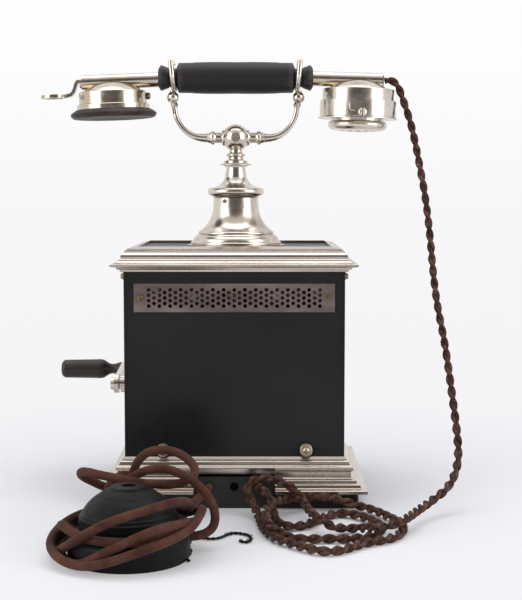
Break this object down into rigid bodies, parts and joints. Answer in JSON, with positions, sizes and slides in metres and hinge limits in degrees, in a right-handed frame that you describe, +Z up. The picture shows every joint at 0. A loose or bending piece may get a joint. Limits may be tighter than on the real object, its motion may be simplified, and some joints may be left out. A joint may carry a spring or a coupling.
{
  "type": "magneto table telephone",
  "caption": "Table telephone with a hand-cranked magneto: moulded metal case, turned column, forked cradle, tubular handset, cords and a terminal rosette.",
  "frame": {"origin": "middle of the plinth's underside, on the surface the telephone stands on", "axes": "+X to the right as seen from the side with the cord outlets, +Y from that side towards the far side, +Z up"},
  "size_m": [0.2987, 0.3169, 0.3121],
  "materials": {
    "nickel": "satin nickel plate on brass, lightly tarnished",
    "black_enamel": "satin black enamel on sheet steel",
    "black_wood": "black lacquered wood",
    "ebonite": "dull hard rubber",
    "worn_ebonite": "worn hard rubber, brown-grey",
    "stained_wood": "dark brown lacquered wood",
    "grille": "brownish tarnished nickel",
    "dark_screws": "darkened steel",
    "steel": "bright steel",
    "brass_parts": "plain brass",
    "iron": "black iron",
    "copper_winding": "wound enamelled wire and iron core",
    "dusty_moulding": "black moulded cover, dusty",
    "brown_textile": "brown twisted textile cord",
    "red_brown_textile": "reddish brown braided textile cord"
  },
  "bodies": {
    "base": {"plinth": "black_wood", "base_moulding": "nickel", "cord_plate": "black_enamel", "case_shell": "black_enamel", "front_panel": "black_enamel", "panel_brackets": "steel", "grille_plate": "grille", "case_screws": "dark_screws", "cornice": "nickel", "top_panel": "black_wood", "bell_column": "nickel", "guide_bush": "brass_parts", "cradle_spring": "steel", "crank_bush": "nickel", "magneto_plates": "brass_parts", "magneto_magnets": "iron", "mounting_plate": "steel", "gongs": "nickel", "ringer_yoke": "iron", "ringer_coils": "copper_winding", "hook_switch_frame": "brass_parts", "contact_springs": "brass_parts", "induction_coil": "copper_winding", "capacitor": "iron", "terminal_strip": "black_wood", "rosette_base": "dusty_moulding", "rosette_cover": "dusty_moulding", "hand_cord_run": "brown_textile", "hand_cord_heap": "brown_textile", "hand_cord_end": "brown_textile", "line_cord_run": "red_brown_textile", "line_cord_winding": "red_brown_textile", "line_cord_loops": "red_brown_textile"},
    "cradle": {"cradle_stem": "steel", "cradle_hub": "nickel", "hub_screw": "dark_screws", "fork_left": "nickel", "fork_right": "nickel"},
    "handset": {"grip": "ebonite", "handset_tubes": "nickel", "receiver_case": "nickel", "ear_cap": "worn_ebonite", "receiver_unit": "steel", "hanging_hook": "nickel", "transmitter_case": "nickel", "mouthpiece": "nickel", "transmitter_capsule": "brass_parts", "handset_screws": "dark_screws", "cord_bush": "ebonite", "hand_cord_lead": "brown_textile"},
    "switch_lever": {"hook_switch_lever": "brass_parts"},
    "crank": {"crank_shaft": "steel", "crank_arm": "nickel", "drive_gear": "brass_parts"},
    "crank_handle": {"crank_grip": "stained_wood"},
    "generator": {"armature": "copper_winding", "armature_pinion": "steel"},
    "striker": {"clapper": "brass_parts"},
    "left_thumb_screw": {"thumb_screw_left": "nickel"},
    "right_thumb_screw": {"thumb_screw_right": "nickel"}
  },
  "joints": [
    {"name": "handset_lift", "type": "slide", "parent": "base", "child": "handset", "axis": [0, 0, 1], "range_m": [0, 0.06]},
    {"name": "cradle_rise", "type": "slide", "parent": "base", "child": "cradle", "axis": [0, 0, 1], "range_m": [0, 0.005], "deforming": ["cradle_spring"]},
    {"name": "switch_lever_turn", "type": "hinge", "parent": "base", "child": "switch_lever", "pos_m": [0, 0.024, 0.1482], "axis": [-1, 0, 0], "range_deg": [0, 10.6]},
    {"name": "crank_turn", "type": "hinge", "parent": "base", "child": "crank", "pos_m": [0, 0, 0.076], "axis": [1, 0, 0], "continuous": true},
    {"name": "crank_handle_spin", "type": "hinge", "parent": "crank", "child": "crank_handle", "pos_m": [-0.11, 0.05257, 0.07968], "axis": [1, 0, 0], "continuous": true},
    {"name": "generator_spin", "type": "hinge", "parent": "base", "child": "generator", "pos_m": [0, 0, 0.04], "axis": [1, 0, 0], "continuous": true},
    {"name": "striker_swing", "type": "hinge", "parent": "base", "child": "striker", "pos_m": [0, -0.046, 0.1095], "axis": [0, 1, 0], "range_deg": [-1.8, 1.8], "stiffness_Nm_per_rad": 0.02},
    {"name": "left_thumb_turn", "type": "hinge", "parent": "base", "child": "left_thumb_screw", "pos_m": [-0.0495, -0.066, 0.0392], "axis": [0, 1, 0], "continuous": true},
    {"name": "right_thumb_turn", "type": "hinge", "parent": "base", "child": "right_thumb_screw", "pos_m": [0.0495, -0.066, 0.0392], "axis": [0, 1, 0], "continuous": true}
  ],
  "couplings": [
    {"joint": "cradle_rise", "follows": "handset_lift", "ratio": 0.083332},
    {"joint": "switch_lever_turn", "follows": "handset_lift", "rad_per_m": 3.05},
    {"joint": "generator_spin", "follows": "crank_turn", "ratio": -4}
  ]
}
